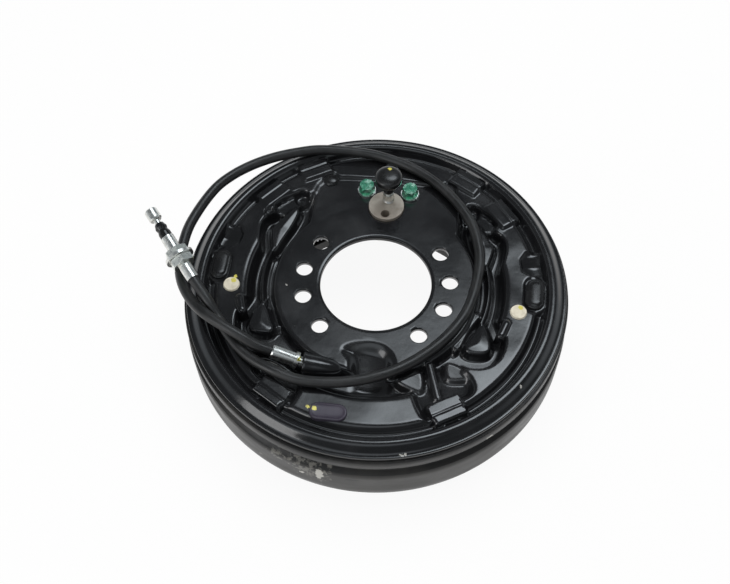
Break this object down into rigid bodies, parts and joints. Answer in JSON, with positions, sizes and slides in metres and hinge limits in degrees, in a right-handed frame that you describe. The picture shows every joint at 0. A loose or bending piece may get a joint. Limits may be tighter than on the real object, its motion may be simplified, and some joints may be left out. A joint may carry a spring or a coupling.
{
  "type": "wheel brake assembly",
  "caption": "Drum brake with pressed backing plate, wheel cylinder, shoes, parking lever and a coiled parking cable with threaded end fitting.",
  "frame": {"origin": "centre of the drum's outer face, on the wheel axis, where the part rests on the ground", "axes": "+Z along the wheel axis from the drum to the backing plate, +Y toward the wheel cylinder, +X to the right as seen from the backing plate's outer side"},
  "size_m": [0.3832, 0.348, 0.1398],
  "materials": {
    "black_paint": "glossy black paint on pressed steel",
    "drum_iron": "black-coated iron, lightly scuffed",
    "shoe_paint": "satin black paint",
    "lining_compound": "moulded friction compound, matt",
    "zinc_plate": "bright zinc plate",
    "green_zinc": "olive green passivated zinc",
    "machined_steel": "machined steel",
    "cast_housing": "pale cast metal, machined face",
    "black_rubber": "black rubber",
    "sheath_black": "satin black plastic over a steel spiral",
    "cream_plate": "cream finish",
    "purple_plug": "purple-grey rubber"
  },
  "bodies": {
    "plate": {"backing_plate": "black_paint", "anchor_post": "machined_steel", "cylinder_body": "cast_housing", "dust_boots": "black_rubber", "cylinder_spring": "machined_steel", "cylinder_bolts": "green_zinc", "cylinder_washers": "zinc_plate", "hold_down_pins": "cream_plate", "hold_down_cups": "zinc_plate", "hold_down_springs": "machined_steel", "return_spring_left": "machined_steel", "return_spring_right": "machined_steel", "lower_spring": "machined_steel", "adjuster_fork_left": "machined_steel", "adjuster_fork_right": "machined_steel", "cable_ferrule": "zinc_plate", "cable_sheath": "sheath_black", "cable_end": "zinc_plate", "lock_nuts": "green_zinc", "flat_washers": "zinc_plate", "end_boot": "black_rubber", "pull_slug": "zinc_plate", "side_plugs": "black_rubber", "adjuster_plug": "purple_plug", "round_plugs": "black_rubber"},
    "drum": {"drum": "drum_iron", "drum_web": "drum_iron"},
    "shoe_left": {"shoe_left": "shoe_paint", "lining_left": "lining_compound", "strut": "zinc_plate"},
    "shoe_right": {"shoe_right": "shoe_paint", "lining_right": "lining_compound", "lever_pin": "machined_steel"},
    "piston_left": {"piston_left": "machined_steel", "cup_left": "black_rubber"},
    "piston_right": {"piston_right": "machined_steel", "cup_right": "black_rubber"},
    "lever": {"parking_lever": "zinc_plate"},
    "wire": {"inner_wire": "machined_steel"},
    "star_wheel": {"star_wheel": "zinc_plate"},
    "bleeder": {"bleeder_screw": "zinc_plate", "bleeder_cap": "black_rubber"}
  },
  "joints": [
    {"name": "drum_turn", "type": "hinge", "parent": "plate", "child": "drum", "pos_m": [0, 0, 0.043], "axis": [0, 0, 1], "continuous": true},
    {"name": "shoe_right_swing", "type": "hinge", "parent": "plate", "child": "shoe_right", "pos_m": [0.048, -0.122, 0.052], "axis": [0, 0, -1], "range_deg": [0, 0.4], "deforming": ["return_spring_right", "lower_spring"]},
    {"name": "shoe_left_swing", "type": "hinge", "parent": "plate", "child": "shoe_left", "pos_m": [-0.048, -0.122, 0.052], "axis": [0, 0, 1], "range_deg": [0, 0.4], "deforming": ["return_spring_left"]},
    {"name": "piston_right_slide", "type": "slide", "parent": "plate", "child": "piston_right", "axis": [1, 0, 0], "range_m": [0, 0.0016]},
    {"name": "piston_left_slide", "type": "slide", "parent": "plate", "child": "piston_left", "axis": [-1, 0, 0], "range_m": [0, 0.0016]},
    {"name": "lever_swing", "type": "hinge", "parent": "shoe_right", "child": "lever", "pos_m": [0.084, 0.097, 0.0465], "axis": [0, 0, -1], "range_deg": [0, 4]},
    {"name": "wire_pull", "type": "slide", "parent": "plate", "child": "wire", "axis": [-0.9345, 0.0982, 0.342], "range_m": [0, 0.0148]},
    {"name": "star_turn", "type": "hinge", "parent": "plate", "child": "star_wheel", "pos_m": [-0.02, -0.122, 0.052], "axis": [1, 0, 0], "continuous": true},
    {"name": "bleeder_turn", "type": "hinge", "parent": "plate", "child": "bleeder", "pos_m": [0.0012, 0.0922, 0.097], "axis": [0, 0, 1], "range_deg": [0, 180]}
  ],
  "couplings": [
    {"joint": "piston_right_slide", "follows": "shoe_right_swing", "m_per_rad": 0.224},
    {"joint": "piston_left_slide", "follows": "shoe_left_swing", "m_per_rad": 0.224},
    {"joint": "wire_pull", "follows": "lever_swing", "m_per_rad": 0.2097}
  ]
}
